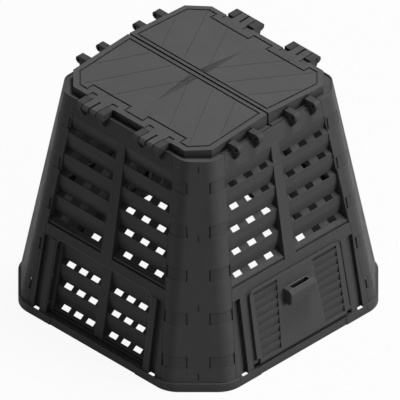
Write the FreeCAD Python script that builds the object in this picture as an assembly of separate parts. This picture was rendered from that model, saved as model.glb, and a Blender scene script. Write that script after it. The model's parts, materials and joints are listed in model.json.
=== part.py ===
import FreeCAD, Part
import math
import os

from FreeCAD import Vector

# Pyramid compost bin: four wall mouldings and four corner posts make an open frustum,
# two doors and two vent panels close the lower openings, and two lid flaps hinge on ears
# on the front and back walls. The walls are alike, but only the left and right ones have
# bosses for a door's pins. Millimetres, +Z up, origin on the ground under the middle.
# The front wall faces -Y and the door that shows faces +X.

# Overall form, measured on the outside of the walls
WALL_TOP = 775.0
FACE_HALF_FOOT = 463.4
FACE_HALF_TOP = 324.7
CORNER_LEG_FOOT = 137.5
CORNER_LEG_TOP = 59.4
CORNER_ROUND = 52.0
SKIN = 4.0
FIT = 0.4

# Seam between a wall and a post, and the lip of the wall behind the post
POST_WING_FOOT = 29.9
POST_WING_TOP = 54.6
SEAM_FOOT = FACE_HALF_FOOT - CORNER_LEG_FOOT - POST_WING_FOOT
SEAM_TOP = FACE_HALF_TOP - CORNER_LEG_TOP - POST_WING_TOP
SEAM_GAP = 1.0
LIP_LAP_FOOT = 8.0
LIP_LAP_TOP = 24.0
LIP_ROOT = 12.0

# Foot skirt and the ledge that joins it to the walls
SKIRT_STEP = 3.1
SKIRT_HALF = FACE_HALF_FOOT + SKIRT_STEP
SKIRT_DISH = 2.3
SKIRT_LEG = CORNER_LEG_FOOT + SKIN
SKIRT_ROUND = 95.0
SKIRT_HEIGHT = 29.4
SKIRT_SEAM_INSET = 16.0
SKIRT_SEAM = SEAM_FOOT - SKIRT_SEAM_INSET
PEG_HOLE_WIDE = 26.0
PEG_HOLE_DEEP = 15.0
PEG_HOLE_SET_IN = 7.8

# Snap bands: each side of a post has a slot at the seam and a hook groove at five heights
BAND_COUNT = 5
BAND_FIRST = 98.0
BAND_LAST_FROM_TOP = 91.0
BAND_HOOK_TALL = 38.0
BAND_HOOK_WIDE = 5.0
BAND_HOOK_DEEP = 2.5
BAND_HOOK_FROM_MIDDLE = 34.0
BAND_SLOT_TALL = 40.0
BAND_SLOT_WIDE = 9.0

# Small blind slots down the flat of each post
DRAIN_COUNT = 4
DRAIN_FIRST = 38.5
DRAIN_LAST_FROM_TOP = 38.1
DRAIN_TALL = 22.0
DRAIN_WIDE = 5.0
DRAIN_DEEP = 3.0

# Top rim: a ledge inside the walls carries the lid
RIM_DROP = 4.0
LEDGE_TOP = WALL_TOP - RIM_DROP
LEDGE_THICK = 4.0
LEDGE_WIDE = 39.7
MOUTH_HALF = FACE_HALF_TOP - LEDGE_WIDE
MOUTH_LEG_LESS = 7.4
MOUTH_LEG = CORNER_LEG_TOP - MOUTH_LEG_LESS

# Recess in the lower part of every wall, with a way through its floor
RECESS_TOP = 291.0
RECESS_ROUND = 20.0
RECESS_DEEP = 20.4
RECESS_FROM_GROOVE = 26.0
OPENING_FOOT = 30.0
OPENING_STEP = 10.5
OPENING_TOP_STEP = 5.0

# Grooves beside the recess and the raised strips next to them
GROOVE_TOP = RECESS_TOP - 7.0
GROOVE_FROM_SEAM_TOP = 2.7
GROOVE_FROM_SEAM_FOOT = 26.8
GROOVE_WIDE_TOP = 29.0
GROOVE_WIDE_FOOT = 26.5
GROOVE_DEEP = 12.0
STRIP_WIDE = 24.0
STRIP_PROUD = 2.5

# Upper louvred fields, one each side of a mullion
FIELD_TOP_DROP = 60.0
FIELD_TOP = WALL_TOP - FIELD_TOP_DROP
FIELD_OVER_RECESS = 33.0
FIELD_FOOT = RECESS_TOP + FIELD_OVER_RECESS
FIELD_INNER_TOP = 16.0
FIELD_INNER_FOOT = 24.4
FIELD_PAST_SEAM_TOP = 1.7
FIELD_PAST_SEAM_FOOT = -3.3
FIELD_ROWS = 5
FIELD_FOOT_ROOM = 25.0
FIELD_TOP_ROOM = 53.2
FIELD_DEEP_FOOT = 38.5
FIELD_DEEP_TOP = 1.5
FIELD_SLOT_SHARES_TOP = (0.173, 0.492, 0.816)
FIELD_SLOT_SHARES_FOOT = (0.198, 0.496, 0.792)

# Louvre section: a ledge that holds the slots, and a crowned board below it
LEDGE_REACH = 17.0
LEDGE_DROP = 13.0
BOARD_CROWN = 3.5
SLOT_WIDE = 32.0
SLOT_ALONG_LEDGE = 17.5
SLOT_THROUGH = 26.0
SILL_RISE = 7.0
SILL_STEP = 3.0
NOTCH_DEEP = 9.0
NOTCH_TALL = 3.5

# Hinge ears on the wall tops and the lid hinge axis
EAR_FROM_SEAM = 42.2
EAR_SPAN = 88.5
EAR_OUTER_AT = SEAM_TOP - EAR_FROM_SEAM
EAR_AT = (EAR_OUTER_AT - EAR_SPAN, EAR_OUTER_AT)
EAR_THICK = 24.0
EAR_SET_IN = 13.7
EAR_INNER = FACE_HALF_TOP - EAR_SET_IN
EAR_HORN_THICK = 9.0
EAR_HORN_DROP = 37.0
EAR_HORN_TIP = WALL_TOP - EAR_HORN_DROP
LID_AXIS_PROUD = 20.8
LID_AXIS_OUT = FACE_HALF_TOP + LID_AXIS_PROUD
LID_AXIS_RISE = 12.0
LID_AXIS_HEIGHT = WALL_TOP + LID_AXIS_RISE
LID_EYE = 12.5
LID_PIN_RADIUS = 5.0
LID_PIN_HEAD_RADIUS = 8.0
LID_PIN_HEAD_THICK = 3.0
LID_PIN_HEAD_SIDES = 6
LID_PIN_CLEARANCE = 0.35
LID_PIN_SEAT_CLEARANCE = 0.1

# Lid flaps: a shallow gable whose ridge is the seam
LID_SET_IN = 19.7
LID_HALF = FACE_HALF_TOP - LID_SET_IN
LID_LEG_MORE = 0.6
LID_LEG = CORNER_LEG_TOP + LID_LEG_MORE
LID_RISE = 43.0
LID_RIDGE = WALL_TOP + LID_RISE
LID_SLOPE = 0.066
LID_SKIN = 5.5
LID_GAP = 7.0
LID_CLEARANCE = 0.6
LID_SEAM_LIP = 24.0
LID_RIM = 18.0
LID_SEAM_RIM = 11.0
LID_GROOVE = 6.0
LID_GROOVE_DEEP = 4.0
LID_PAD_INNER = 38.0
LID_PAD_OUTER = 32.5
LID_PAD_REACH = 26.0
LID_PAD_POCKET = 25.0
LID_PAD_POCKET_SET_IN = 9.0
LID_GRIP_FROM = 6.0
LID_GRIP_TO = 60.0
LID_GRIP_REACH = 13.0
KNUCKLE_WIDE = 25.0
KNUCKLE_GAP = 3.5
SCORE_FIRST_SET_IN = 117.0
SCORE_PITCH = 97.5
SCORE_CROSS = 27.0
SCORE_LINES = 3
SCORE_WIDE = 2.0
SCORE_DEEP = 1.0
SCORE_LEAN = 60.0
SPINE_NEAR = 24.0
SPINE_SET_IN = 89.0
SPINE_HALF = 7.0
SPINE_TALL = 4.0
SPINE_TIP_SUNK = 0.2

# Doors: a flange in the recess, a raised front, and a stiffening ring behind the front
DOOR_PROUD = 10.0
DOOR_SIDE_FIT = 0.6
DOOR_TOP_FIT = 1.5
DOOR_TOP = RECESS_TOP - DOOR_TOP_FIT
DOOR_SET_IN = 9.4
DOOR_WING_FOOT = 60.0
DOOR_ROUND = 18.0
DOOR_PLUG_DEEP = 14.0
DOOR_PLUG_GAP = 9.0
DOOR_AXIS_DEEP = 7.0
DOOR_AXIS_HEIGHT = 47.5
DOOR_PIN_RADIUS = 4.0
DOOR_PIN_CLEARANCE = 0.35
DOOR_PIN_LONG = 9.0
DOOR_BOSS_RADIUS = 9.5
DOOR_BOSS_LONG = 21.0
DOOR_SIDE_GAP = 2.0
RIB_COUNT = 9
RIB_FIRST = 54.0
RIB_LAST_FROM_TOP = 16.3
RIB_TOP_FROM_TOP = 4.5
RIB_DEEP = 6.0
RIB_NOTCH = 3.0
RIB_INNER_TOP = 77.0
RIB_INNER_FOOT = 98.0
RIB_SET_IN = 15.0
HANDLE_HALF = 57.0
HANDLE_FROM_TOP = 45.5
HANDLE_TALL = 53.0
HANDLE_PROUD = 32.0
POCKET_HALF = 38.0
POCKET_NEAR = 4.0
POCKET_FAR = 24.0
POCKET_DEEP = 34.0

# Vent panels, sunk in the recess
VENT_SIDE_FIT = 0.6
VENT_FOOT = 33.0
VENT_FIELD_FROM_TOP = 12.0
VENT_FIELD_FOOT = 38.0
VENT_MULLION_HALF = 18.7
VENT_ROWS = 3
VENT_FIRST_ROW = 56.5
VENT_TOP_ROOM = 69.0
VENT_DEEP_FOOT = 32.2
VENT_DEEP_TOP = 7.9
VENT_SLOT_SHARES = (0.185, 0.492, 0.8)

# Reach of the cutting tools past what they cut
BEYOND = 40.0

FACE_LEAN = (FACE_HALF_FOOT - FACE_HALF_TOP) / WALL_TOP
SIDE_TURN = {"front": 0, "right": 90, "back": 180, "left": 270}
DOOR_SIDES = ("right", "left")


def between(low, high, z, z_low=0.0, z_high=WALL_TOP):
    """The value at height z of a size that changes evenly from z_low to z_high."""
    return low + (high - low) * (z - z_low) / (z_high - z_low)


def face_half(z):
    return FACE_HALF_FOOT - FACE_LEAN * z


def wall_y(z, depth=0.0):
    """Y of the front wall's face at height z, moved inwards by depth."""
    return depth - face_half(z)


def seam(z):
    return between(SEAM_FOOT, SEAM_TOP, z)


def evenly(first, last, count):
    """Count values from first to last with equal steps."""
    return [first + (last - first) * index / (count - 1) for index in range(count)]


def groove_outer(z):
    set_in = between(GROOVE_FROM_SEAM_FOOT, GROOVE_FROM_SEAM_TOP, z, SKIRT_HEIGHT, GROOVE_TOP)
    return seam(z) - set_in


def groove_inner(z):
    wide = between(GROOVE_WIDE_FOOT, GROOVE_WIDE_TOP, z, SKIRT_HEIGHT, GROOVE_TOP)
    return groove_outer(z) - wide


def recess_half(z):
    return groove_inner(z) - RECESS_FROM_GROOVE


def opening_half(z):
    return recess_half(z) - OPENING_STEP


VENT_FIELD_TOP = RECESS_TOP - VENT_FIELD_FROM_TOP
DOOR_BARREL_HALF = recess_half(DOOR_AXIS_HEIGHT) - DOOR_BOSS_LONG - DOOR_SIDE_GAP
DOOR_PLUG_HALF = opening_half(DOOR_TOP) - DOOR_PLUG_GAP


# Outlines: a path is a list of points; a pair of points is an arc through the first
# to the second. Each prism lies across the named view.


def outline_face(path, place):
    edges = []
    here = place(*path[0])
    for step in path[1:] + [path[0]]:
        if isinstance(step[0], tuple):
            through, end = place(*step[0]), place(*step[1])
            edges.append(Part.Arc(here, through, end).toShape())
        else:
            end = place(*step)
            edges.append(Part.LineSegment(here, end).toShape())
        here = end
    return Part.Face(Part.Wire(edges))


def side_prism(path, x_low, x_high):
    """Path of (y, z), extruded along X."""
    face = outline_face(path, lambda y, z: Vector(x_low, y, z))
    return face.extrude(Vector(x_high - x_low, 0, 0))


def front_prism(path, y_low, y_high):
    """Path of (x, z), extruded along Y."""
    face = outline_face(path, lambda x, z: Vector(x, y_low, z))
    return face.extrude(Vector(0, y_high - y_low, 0))


def plan_prism(path, z_low, z_high):
    """Path of (x, y), extruded along Z."""
    face = outline_face(path, lambda x, y: Vector(x, y, z_low))
    return face.extrude(Vector(0, 0, z_high - z_low))


def box(x_low, x_high, y_low, y_high, z_low, z_high):
    corner = Vector(x_low, y_low, z_low)
    return Part.makeBox(x_high - x_low, y_high - y_low, z_high - z_low, corner)


def rod(radius, x_low, x_high, y, z):
    return Part.makeCylinder(radius, x_high - x_low, Vector(x_low, y, z), Vector(1, 0, 0))


def eight_sided(across, x_low, x_high, y, z):
    """Bar of eight flat sides along X, its opposite sides that far apart."""
    half = across / 2
    short = half * math.tan(math.pi / 8)
    lower = [(y - short, z - half), (y + short, z - half), (y + half, z - short), (y + half, z + short)]
    upper = [(y + short, z + half), (y - short, z + half), (y - half, z + short), (y - half, z - short)]
    return side_prism(lower + upper, x_low, x_high)


def rounded(corners):
    """Path through (a, b, radius) corners, each sharp or rounded by a tangent arc."""
    path = []
    count = len(corners)
    for index, (a, b, radius) in enumerate(corners):
        if radius == 0:
            path.append((a, b))
            continue
        before, after = corners[index - 1], corners[(index + 1) % count]
        to_before = Vector(before[0] - a, before[1] - b, 0).normalize()
        to_after = Vector(after[0] - a, after[1] - b, 0).normalize()
        half = to_before.getAngle(to_after) / 2
        reach = radius / math.tan(half)
        corner = Vector(a, b, 0)
        middle = (to_before + to_after).normalize()
        centre = corner + middle * (radius / math.sin(half))
        start = corner + to_before * reach
        through = centre - middle * radius
        end = corner + to_after * reach
        path.append((start.x, start.y))
        path.append(((through.x, through.y), (end.x, end.y)))
    return path


def join(first, *others):
    return first.multiFuse([shape for shape in others])


def remove(shape, voids):
    return shape.cut(Part.makeCompound(voids))


def mirrored(shape):
    """The same shape on the other side of the wall's middle."""
    return shape.mirror(Vector(0, 0, 0), Vector(1, 0, 0))


def turned(shape, degrees):
    copy = shape.copy()
    copy.rotate(Vector(0, 0, 0), Vector(0, 0, 1), degrees)
    return copy


def tidy(shape):
    """One clean solid, with its flush faces joined."""
    solids = shape.removeSplitter().Solids
    return max(solids, key=lambda solid: solid.Volume)


def save(shape, name):
    solid = tidy(shape)
    others = len(shape.Solids) - 1
    print(name, "volume", round(solid.Volume), "valid", solid.isValid(), "loose", others)
    solid.exportStep("parts/" + name + ".step")


# Corner posts


def quad_solid(low_ring, high_ring):
    """Solid between two rings of points whose sides are flat."""
    faces = [Part.Face(Part.makePolygon(ring + [ring[0]])) for ring in (low_ring, high_ring)]
    count = len(low_ring)
    for index in range(count):
        after = (index + 1) % count
        corners = [low_ring[index], low_ring[after], high_ring[after], high_ring[index]]
        faces.append(Part.Face(Part.makePolygon(corners + [corners[0]])))
    return Part.makeSolid(Part.makeShell(faces))


def corner_ring(z, inset, past_seam):
    """Outline of the front right corner at height z, closed on the inside."""
    half = face_half(z) - inset
    leg = between(CORNER_LEG_FOOT, CORNER_LEG_TOP, z) + inset * (math.sqrt(2) - 2)
    end = seam(z) - past_seam
    points = [(half, -end), (half, leg - half), (half - leg, -half), (end, -half), (end, -end)]
    return [Vector(x, y, z) for x, y in points]


def corner_solid(low, high, inset, past_seam):
    """Leaning corner between two heights, its two upright edges rounded."""
    rings = [corner_ring(z, inset, past_seam) for z in (low, high)]
    solid = quad_solid(*rings)
    rounds = []
    for edge in solid.Edges:
        ends = [vertex.Point for vertex in edge.Vertexes]
        for index in (1, 2):
            near = [min(end.distanceToPoint(ring[index]) for end in ends) for ring in rings]
            if max(near) < 0.01:
                rounds.append(edge)
    return solid.makeFillet(CORNER_ROUND - inset, rounds)


def over_the_diagonal(shape):
    """The same shape on the corner's other side."""
    return shape.mirror(Vector(0, 0, 0), Vector(1, 1, 0))


def band_slot(middle):
    """Block that opens the post's edge beside a band, down to the wall's lip behind it."""
    low, high = middle - BAND_SLOT_TALL / 2, middle + BAND_SLOT_TALL / 2
    near, far = seam(high) - 1, seam(middle) + BAND_SLOT_WIDE
    outline = [(near, low), (far, low), (far, high), (near, high)]
    return leaning_slab(outline, -BEYOND, SKIN, low, high, far)


def band_middles():
    return evenly(BAND_FIRST, WALL_TOP - BAND_LAST_FROM_TOP, BAND_COUNT)


def post_voids(foot, top):
    """Hook grooves, seam slots and drain slots."""
    outside = corner_solid(foot - 1, top + 1, -1, 2)
    hook_layer = outside.cut(corner_solid(foot - 2, top + 2, BAND_HOOK_DEEP, 4))
    drain_layer = outside.cut(corner_solid(foot - 2, top + 2, DRAIN_DEEP, 4))
    near, far = BAND_HOOK_FROM_MIDDLE, BAND_HOOK_FROM_MIDDLE + BAND_HOOK_WIDE
    voids = []
    for middle in band_middles():
        low, high = middle - BAND_HOOK_TALL / 2, middle + BAND_HOOK_TALL / 2
        slot = band_slot(middle)
        voids += [slot, over_the_diagonal(slot)]
        for start, end in ((near, far), (-far, -near)):
            groove = box(MOUTH_HALF, SKIRT_HALF * 2, start, end, low, high)
            groove.rotate(Vector(0, 0, 0), Vector(0, 0, 1), -45)
            voids.append(groove.common(hook_layer))
    half = DRAIN_WIDE / 2
    for z in evenly(DRAIN_FIRST, WALL_TOP - DRAIN_LAST_FROM_TOP, DRAIN_COUNT):
        slot = box(MOUTH_HALF, SKIRT_HALF * 2, -half, half, z, z + DRAIN_TALL)
        slot.rotate(Vector(0, 0, 0), Vector(0, 0, 1), -45)
        voids.append(slot.common(drain_layer))
    return voids


def foot_ring(inset, low, high):
    """Ring round the foot of the corner: the skirt, or the ledge that joins it."""
    points = rounded(
        [
            (SKIRT_SEAM, -SKIRT_HALF, 0),
            (SKIRT_HALF - SKIRT_LEG, -SKIRT_HALF, SKIRT_ROUND),
            (SKIRT_HALF, SKIRT_LEG - SKIRT_HALF, SKIRT_ROUND),
            (SKIRT_HALF, -SKIRT_SEAM, 0),
            (SKIRT_SEAM, -SKIRT_SEAM, 0),
        ]
    )
    half = SKIRT_HALF - inset
    leg = SKIRT_LEG + inset * (math.sqrt(2) - 2)
    within = SKIRT_SEAM - 1
    straight = SKIRT_ROUND * math.tan(math.pi / 8)
    cut_off = straight * math.sqrt(0.5)
    corner = half - leg
    inner = [
        (within, -half),
        (corner - straight, -half),
        (corner + cut_off, cut_off - half),
        (half - cut_off, -corner - cut_off),
        (half, straight - corner),
        (half, -within),
        (within, -within),
    ]
    return plan_prism(points, low, high).cut(plan_prism(inner, low - 1, high + 1))


def corner_post():
    foot = SKIRT_HEIGHT - SKIN
    outside = corner_solid(foot, WALL_TOP, 0, 0)
    shell = outside.cut(corner_solid(foot - 1, WALL_TOP + 1, SKIN, 2))
    skirt = foot_ring(SKIN, 0, SKIRT_HEIGHT)
    reach = SKIRT_HALF - face_half(SKIRT_HEIGHT) + SKIN / 2
    ledge = foot_ring(reach, foot, SKIRT_HEIGHT)
    rim = rim_ledge().common(
        box(SEAM_TOP, FACE_HALF_TOP, -FACE_HALF_TOP, -SEAM_TOP, foot, WALL_TOP)
    )
    rim = rim.common(corner_solid(foot, WALL_TOP, 1, 0))
    return remove(join(shell, skirt, ledge, rim), post_voids(foot, WALL_TOP))


def octagon(half, leg):
    return [
        (half - leg, -half),
        (half, leg - half),
        (half, half - leg),
        (half - leg, half),
        (leg - half, half),
        (-half, half - leg),
        (-half, leg - half),
        (leg - half, -half),
    ]


def rim_ledge():
    """The whole eight-sided ledge inside the wall tops, cut into its pieces' shares."""
    half = face_half(LEDGE_TOP) - SKIN / 2
    low = LEDGE_TOP - LEDGE_THICK
    outer = plan_prism(octagon(half, CORNER_LEG_TOP - SKIN / 2), low, LEDGE_TOP)
    return outer.cut(plan_prism(octagon(MOUTH_HALF, MOUTH_LEG), low - 1, LEDGE_TOP + 1))


# Louvred fields


def ledge_ends(row_z, half_at_row):
    """Upper inner and lower outer end of a slotted ledge, as (y, z)."""
    upper = (LEDGE_REACH / 2 - half_at_row, row_z + LEDGE_DROP / 2)
    lower = (-LEDGE_REACH / 2 - half_at_row, row_z - LEDGE_DROP / 2)
    return upper, lower


def crown(start, end, rise):
    """Point of the blunt ridge along the middle of a board, between its two ends."""
    return ((start[0] + end[0]) / 2 - rise, (start[1] + end[1]) / 2)


def louvre_path(rows, slot_half, top, foot, front, rise):
    """Louvres in side view, from the field's top edge to its foot."""
    path = [(wall_y(top, front), top)]
    here = None
    for row_z in rows:
        upper, lower = ledge_ends(row_z, slot_half(row_z))
        if here:
            path.append(crown(here, upper, rise))
        path += [upper, lower]
        here = lower
    sill = foot + NOTCH_TALL
    step = front + SILL_STEP
    path.append((wall_y(sill + SILL_RISE, step), sill + SILL_RISE))
    path.append((wall_y(sill + SILL_RISE, step), sill))
    path.append((wall_y(sill, step + NOTCH_DEEP), sill))
    path.append((wall_y(foot, step + NOTCH_DEEP), foot))
    return path


def louvre_void(path, foot, x_low, x_high):
    """Everything in front of the louvres."""
    top_y, top = path[0]
    outside = -SKIRT_HALF - BEYOND
    whole = [(outside, foot), (outside, top)] + path
    return side_prism(whole, x_low, x_high)


def louvre_mass(path, foot, front, x_low, x_high):
    """Everything between the field's frame and the plain back of the louvres."""
    top = path[0][1]
    back = [(y + SKIN, z) for y, z in path]
    foot_y = back[-1][0]
    low = foot - SKIN
    whole = [(wall_y(low, front), low), (wall_y(top + SKIN, front), top + SKIN)]
    whole += [(wall_y(top + SKIN, front + SKIN), top + SKIN)] + back + [(foot_y, low)]
    return side_prism(whole, x_low, x_high)


def field_outline(inner_top, inner_foot, outer_top, outer_foot, top, foot, grow=0.0):
    return [
        (inner_foot - grow, foot - grow),
        (outer_foot + grow, foot - grow),
        (outer_top + grow, top + grow),
        (inner_top - grow, top + grow),
    ]


def slot_tool(u, row_z, half_at_row):
    """Block that cuts one slot through a ledge, square to the ledge's slope."""
    along = Vector(0, -LEDGE_REACH, -LEDGE_DROP).normalize()
    out = Vector(0, -LEDGE_DROP, LEDGE_REACH).normalize()
    centre = Vector(u - SLOT_WIDE / 2, -half_at_row, row_z)
    start = centre - along * (SLOT_ALONG_LEDGE / 2) - out * (SLOT_THROUGH / 2)
    corners = [start, start + along * SLOT_ALONG_LEDGE]
    corners.append(corners[1] + out * SLOT_THROUGH)
    corners.append(start + out * SLOT_THROUGH)
    face = Part.Face(Part.makePolygon(corners + [start]))
    return face.extrude(Vector(SLOT_WIDE, 0, 0))


def field_slot_half(z):
    return face_half(z) - between(FIELD_DEEP_FOOT, FIELD_DEEP_TOP, z)


def vent_slot_half(z):
    return face_half(z) - between(VENT_DEEP_FOOT, VENT_DEEP_TOP, z)


def louvred_field(outline, grown, rows, slot_half, top, foot, slot_places, front):
    """Mass and voids of one louvred field right of the middle."""
    plain = louvre_path(rows, slot_half, top, foot, front, 0)
    ridged = louvre_path(rows, slot_half, top, foot, front, BOARD_CROWN)
    x_high = max(point[0] for point in grown) + 1
    deep = (-SKIRT_HALF - BEYOND, -MOUTH_HALF + BEYOND)
    mass = louvre_mass(plain, foot, front, 0, x_high).common(front_prism(grown, *deep))
    void = louvre_void(ridged, foot, 0, x_high).common(front_prism(outline, *deep))
    slots = []
    for row_z in rows:
        for u in slot_places(row_z):
            slots.append(slot_tool(u, row_z, slot_half(row_z)))
    return mass, [void] + slots


def upper_slot_places(z):
    """Middles of the slots in a row, as shares of the field's width at that height."""
    first, last = FIELD_FOOT + FIELD_FOOT_ROOM, FIELD_TOP - FIELD_TOP_ROOM
    inner = between(FIELD_INNER_FOOT, FIELD_INNER_TOP, z, FIELD_FOOT, FIELD_TOP)
    past = between(FIELD_PAST_SEAM_FOOT, FIELD_PAST_SEAM_TOP, z, FIELD_FOOT, FIELD_TOP)
    wide = seam(z) + past - inner
    pairs = zip(FIELD_SLOT_SHARES_FOOT, FIELD_SLOT_SHARES_TOP)
    return [inner + wide * between(foot, top, z, first, last) for foot, top in pairs]


def upper_field():
    rows = evenly(FIELD_FOOT + FIELD_FOOT_ROOM, FIELD_TOP - FIELD_TOP_ROOM, FIELD_ROWS)
    outer_top = seam(FIELD_TOP) + FIELD_PAST_SEAM_TOP
    outer_foot = seam(FIELD_FOOT) + FIELD_PAST_SEAM_FOOT
    sizes = (FIELD_INNER_TOP, FIELD_INNER_FOOT, outer_top, outer_foot)
    outline = field_outline(*sizes, FIELD_TOP, FIELD_FOOT)
    grown = field_outline(*sizes, FIELD_TOP, FIELD_FOOT, SKIN)
    return louvred_field(
        outline, grown, rows[::-1], field_slot_half, FIELD_TOP, FIELD_FOOT, upper_slot_places, 0
    )


# Walls


def wall_skin():
    low, high = SKIRT_HEIGHT - SKIN, WALL_TOP
    profile = [
        (wall_y(low), low),
        (wall_y(high), high),
        (wall_y(high, SKIN), high),
        (wall_y(low, SKIN), low),
    ]
    sheet = side_prism(profile, -SEAM_FOOT, SEAM_FOOT)
    edge_low, edge_high = seam(low) - SEAM_GAP, seam(high) - SEAM_GAP
    outline = [(-edge_low, low), (edge_low, low), (edge_high, high), (-edge_high, high)]
    return sheet.common(front_prism(outline, -SKIRT_HALF, -MOUTH_HALF))


def wall_lip():
    """Lip behind the post's wing, right of the middle."""
    low, high = SKIRT_HEIGHT, LEDGE_TOP - LEDGE_THICK
    profile = [
        (wall_y(low, SKIN), low),
        (wall_y(high, SKIN), high),
        (wall_y(high, 2 * SKIN), high),
        (wall_y(low, 2 * SKIN), low),
    ]
    sheet = side_prism(profile, 0, SEAM_FOOT + LIP_LAP_FOOT)
    outline = [
        (seam(low) - LIP_ROOT, low),
        (seam(low) + LIP_LAP_FOOT, low),
        (seam(high) + LIP_LAP_TOP, high),
        (seam(high) - LIP_ROOT, high),
    ]
    return sheet.common(front_prism(outline, -SKIRT_HALF, -MOUTH_HALF))


def wing_room():
    """Space that the post's wing takes beyond the seam, right of the middle."""
    low, high = SKIRT_HEIGHT, WALL_TOP + 1
    profile = [
        (wall_y(low, -BEYOND), low),
        (wall_y(high, -BEYOND), high),
        (wall_y(high, SKIN), high),
        (wall_y(low, SKIN), low),
    ]
    outline = [
        (seam(low) - SEAM_GAP, low),
        (seam(low) + BEYOND, low),
        (seam(high) + BEYOND, high),
        (seam(high) - SEAM_GAP, high),
    ]
    sheet = side_prism(profile, 0, SEAM_FOOT + BEYOND)
    return sheet.common(front_prism(outline, -SKIRT_HALF - BEYOND, -MOUTH_HALF))


def wall_foot():
    """Skirt and ledge along the foot of the wall, with its middle set back a little."""
    y_face = wall_y(SKIRT_HEIGHT, SKIN / 2)
    y_inside = SKIN - SKIRT_HALF
    profile = [
        (-SKIRT_HALF, 0),
        (-SKIRT_HALF, SKIRT_HEIGHT),
        (y_face, SKIRT_HEIGHT),
        (y_face, SKIRT_HEIGHT - SKIN),
        (y_inside, SKIRT_HEIGHT - SKIN),
        (y_inside, 0),
    ]
    reach = SKIRT_SEAM - SEAM_GAP
    foot = side_prism(profile, -reach, reach)
    middle = DOOR_PLUG_HALF
    back = middle + SKIN
    thick = box(-back, back, -SKIRT_HALF + 1, y_inside + SKIRT_DISH, 0, SKIRT_HEIGHT - SKIN / 2)
    dish = box(-middle, middle, -SKIRT_HALF - 1, SKIRT_DISH - SKIRT_HALF, -1, SKIRT_HEIGHT + 1)
    return foot.fuse(thick).cut(dish)


def groove():
    """Mass and void of the groove right of the recess, with a peg hole in its foot."""
    inner = (groove_inner(GROOVE_TOP), groove_inner(SKIRT_HEIGHT))
    outer = (groove_outer(GROOVE_TOP), groove_outer(SKIRT_HEIGHT))
    sizes = inner + outer
    outline = field_outline(*sizes, GROOVE_TOP, SKIRT_HEIGHT)
    grown = field_outline(*sizes, GROOVE_TOP, SKIRT_HEIGHT, SKIN)
    low, high = SKIRT_HEIGHT, GROOVE_TOP
    floor = GROOVE_DEEP
    mass_path = [
        (wall_y(low), low - SKIN),
        (wall_y(high), high + SKIN),
        (wall_y(high + SKIN, floor + SKIN), high + SKIN),
        (wall_y(low, floor + SKIN), low - SKIN),
    ]
    void_path = [
        (wall_y(low) - BEYOND, low),
        (wall_y(high) - BEYOND, high),
        (wall_y(high, floor), high),
        (wall_y(low, floor), low),
    ]
    deep = (-SKIRT_HALF - BEYOND, -MOUTH_HALF)
    mass = side_prism(mass_path, 0, SEAM_FOOT).common(front_prism(grown, *deep))
    void = side_prism(void_path, 0, SEAM_FOOT).common(front_prism(outline, *deep))
    x = (groove_inner(SKIRT_HEIGHT) + groove_outer(SKIRT_HEIGHT)) / 2
    y = PEG_HOLE_SET_IN - FACE_HALF_FOOT
    half_wide, half_deep = PEG_HOLE_WIDE / 2, PEG_HOLE_DEEP / 2
    low, high = SKIRT_HEIGHT - SKIN - 1, SKIRT_HEIGHT + 1
    hole = box(x - half_wide, x + half_wide, y - half_deep, y + half_deep, low, high)
    return mass, [void, hole]


def leaning_slab(outline, depth_out, depth_in, low, high, reach):
    """Slab parallel to the wall's face between two depths, cut to a front outline."""
    profile = [
        (wall_y(low, depth_out), low),
        (wall_y(high, depth_out), high),
        (wall_y(high, depth_in), high),
        (wall_y(low, depth_in), low),
    ]
    slab = side_prism(profile, -reach, reach)
    return slab.common(front_prism(outline, -SKIRT_HALF - 2 * BEYOND, -MOUTH_HALF + BEYOND))


def recess_outline(shrink, low, high, radius):
    """Front outline that follows the recess's leaning sides, with rounded top corners."""
    half_low, half_high = recess_half(low) - shrink, recess_half(high) - shrink
    corners = [(-half_low, low, 0), (half_low, low, 0)]
    return rounded(corners + [(half_high, high, radius), (-half_high, high, radius)])


def recess():
    """Return and floor of the recess, the space in it, and the way through its floor."""
    reach = recess_half(0) + SKIN
    low, high = SKIRT_HEIGHT, RECESS_TOP + SKIN
    deep = RECESS_DEEP
    around = recess_outline(-SKIN, low, high, 0)
    mass = leaning_slab(around, 0, deep + SKIN, low, high, reach)
    edge = recess_outline(0, OPENING_FOOT, RECESS_TOP, RECESS_ROUND)
    space = leaning_slab(edge, -BEYOND, deep, OPENING_FOOT, RECESS_TOP, reach)
    way = recess_outline(OPENING_STEP, OPENING_FOOT, RECESS_TOP - OPENING_TOP_STEP, 0)
    through = leaning_slab(way, 0, deep + BEYOND, OPENING_FOOT, RECESS_TOP, reach)
    return mass, [space, through]


def strip():
    """Low raised strip between the recess and the groove."""
    low, high = SKIRT_HEIGHT, GROOVE_TOP
    inner_low, inner_high = groove_inner(low), groove_inner(high)
    outline = [
        (inner_low - STRIP_WIDE, low),
        (inner_low, low),
        (inner_high, high),
        (inner_high - STRIP_WIDE, high),
    ]
    return leaning_slab(outline, -STRIP_PROUD, SKIN / 2, low, high, SEAM_FOOT)


def eye_corners(y, z, half):
    """Four corners of a pin eye's bevelled outer end, from its top to its foot."""
    short = half * math.tan(math.pi / 8)
    return [(y - short, z + half), (y - half, z + short), (y - half, z - short), (y - short, z - half)]


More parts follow.
